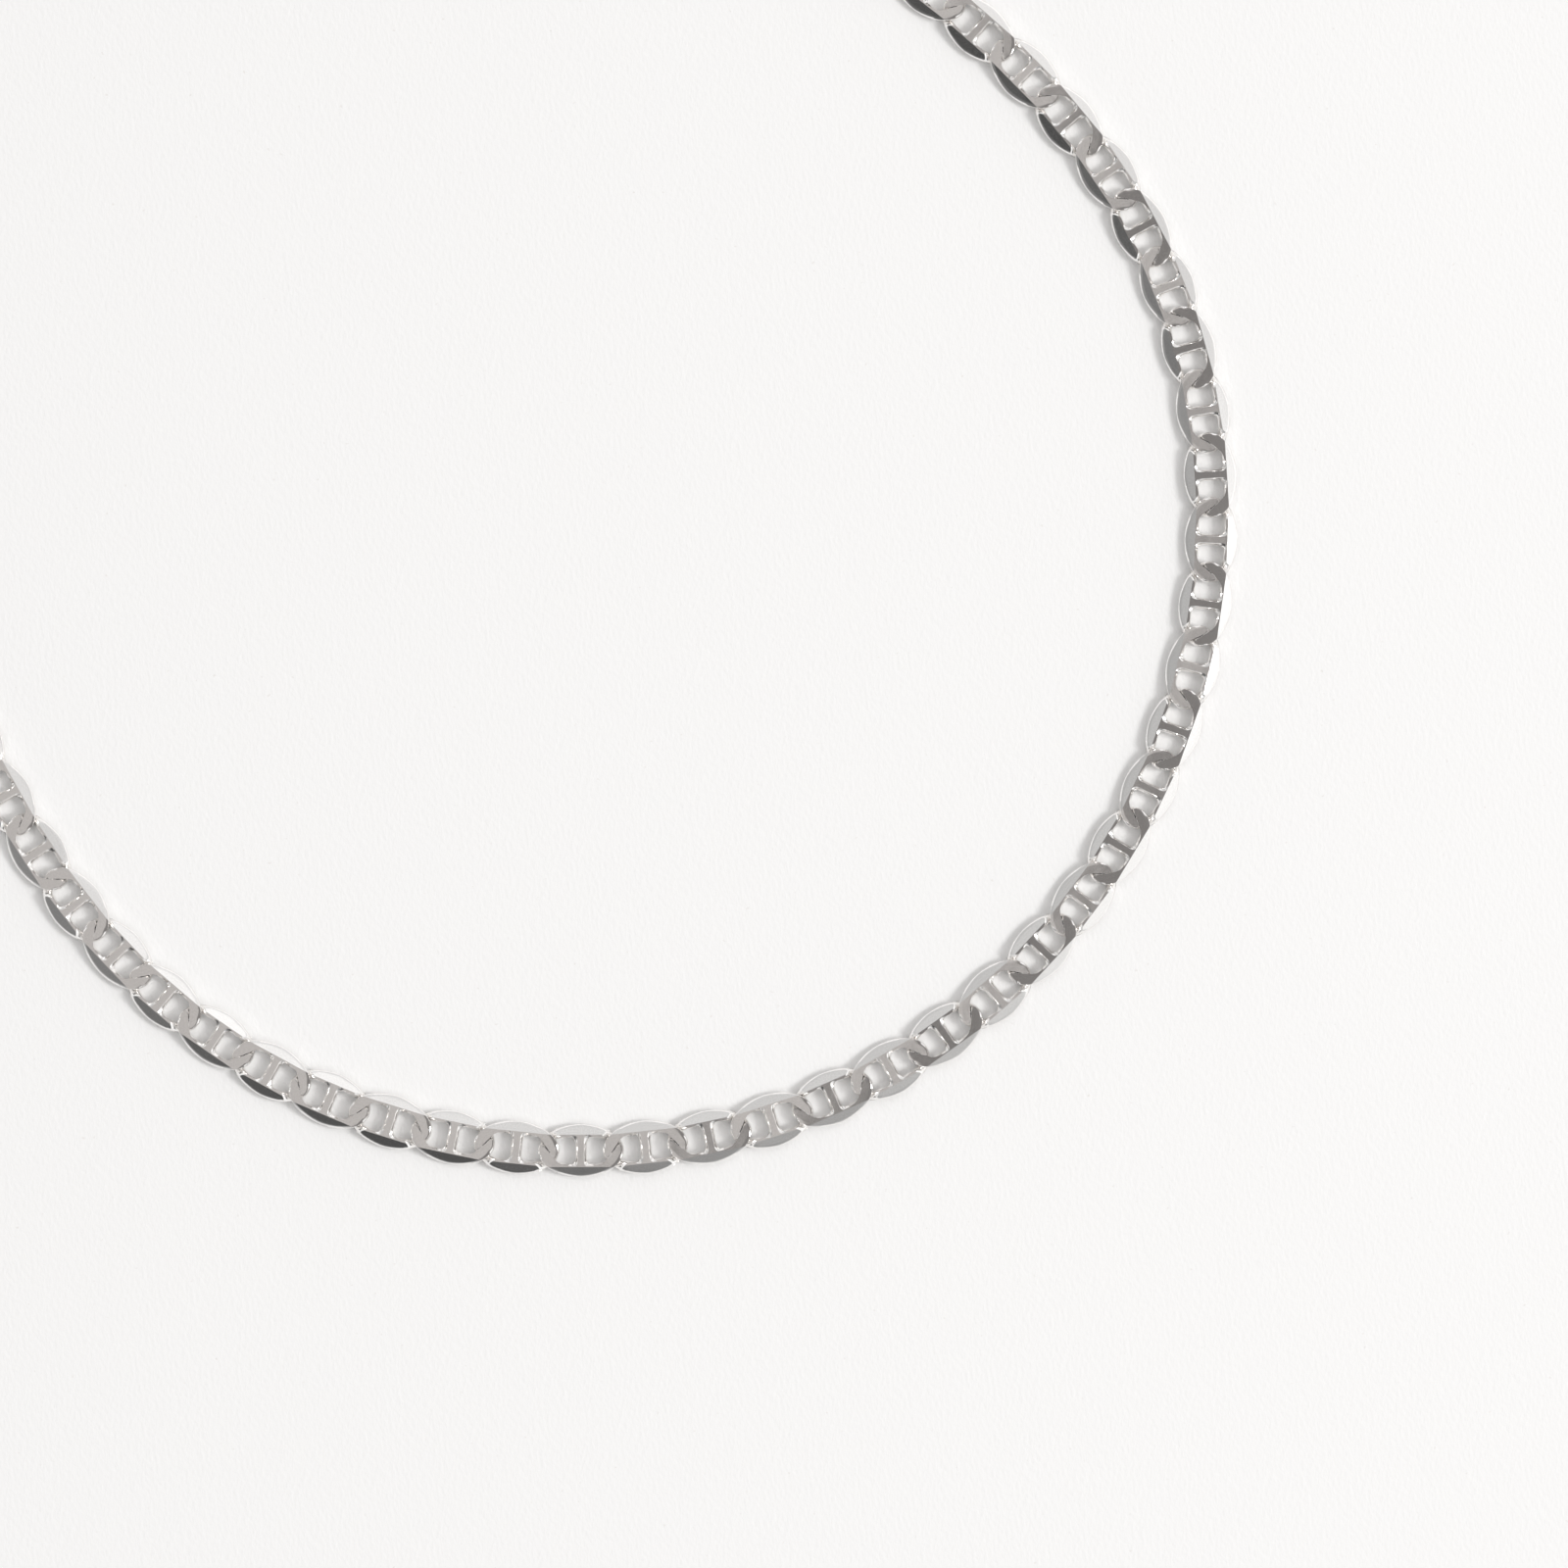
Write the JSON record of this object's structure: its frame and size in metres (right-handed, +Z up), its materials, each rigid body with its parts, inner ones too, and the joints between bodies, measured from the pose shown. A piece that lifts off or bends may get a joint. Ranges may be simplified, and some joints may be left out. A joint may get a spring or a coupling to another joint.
{
  "type": "mariner link chain necklace",
  "caption": "Flat mariner link necklace chain: bevelled oval links, each with a crossbar, laid as a closed loop and joined by a plain clasp.",
  "frame": {"origin": "middle of the loop's outer extents, on the surface that the necklace lies on", "axes": "+Z up from the surface; +X to the right and +Y away from the viewer as the picture shows the loop, so the clasp is at -X +Y"},
  "size_m": [0.1617, 0.1682, 0.0024],
  "materials": {
    "polished_silver": "polished",
    "clasp_silver": "polished"
  },
  "bodies": {
    "root": {"chain_right": "polished_silver", "chain_left": "polished_silver", "clasp": "clasp_silver"}
  },
  "joints": []
}
